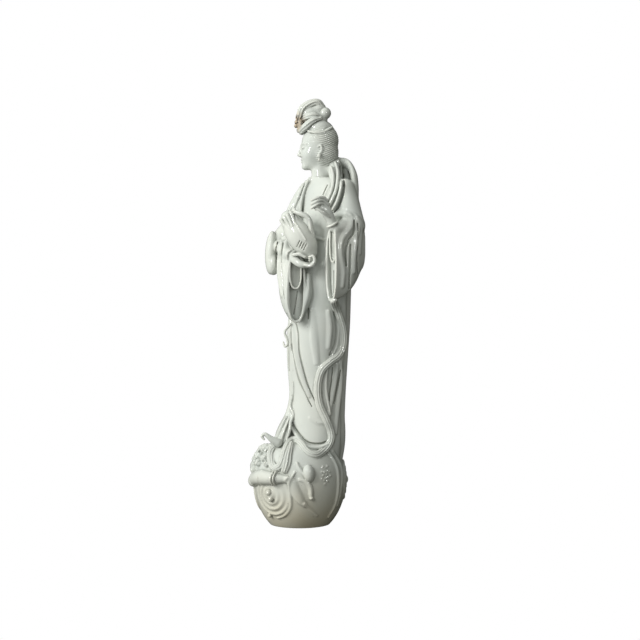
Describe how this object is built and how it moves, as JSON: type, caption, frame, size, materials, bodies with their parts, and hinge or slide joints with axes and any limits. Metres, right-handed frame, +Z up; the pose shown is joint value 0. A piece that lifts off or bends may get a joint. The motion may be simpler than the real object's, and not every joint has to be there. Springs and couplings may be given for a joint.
{
  "type": "guanyin figure",
  "caption": "Slender standing porcelain guanyin with high dressed hair, hanging sleeves and trailing ribbons, one hand raised, on a round base of rolling waves.",
  "frame": {"origin": "middle of the flat round underside, on the surface that the figure stands on", "axes": "+Z up, the front of the figure's chest and robe faces -Y, the figure's left side is +X"},
  "size_m": [0.1651, 0.1482, 0.5994],
  "materials": {
    "glaze": "glossy pale grey-green glaze over porcelain, darker where it pools, warmer on the base"
  },
  "bodies": {
    "root": {"guanyin_figure": "glaze"}
  },
  "joints": []
}
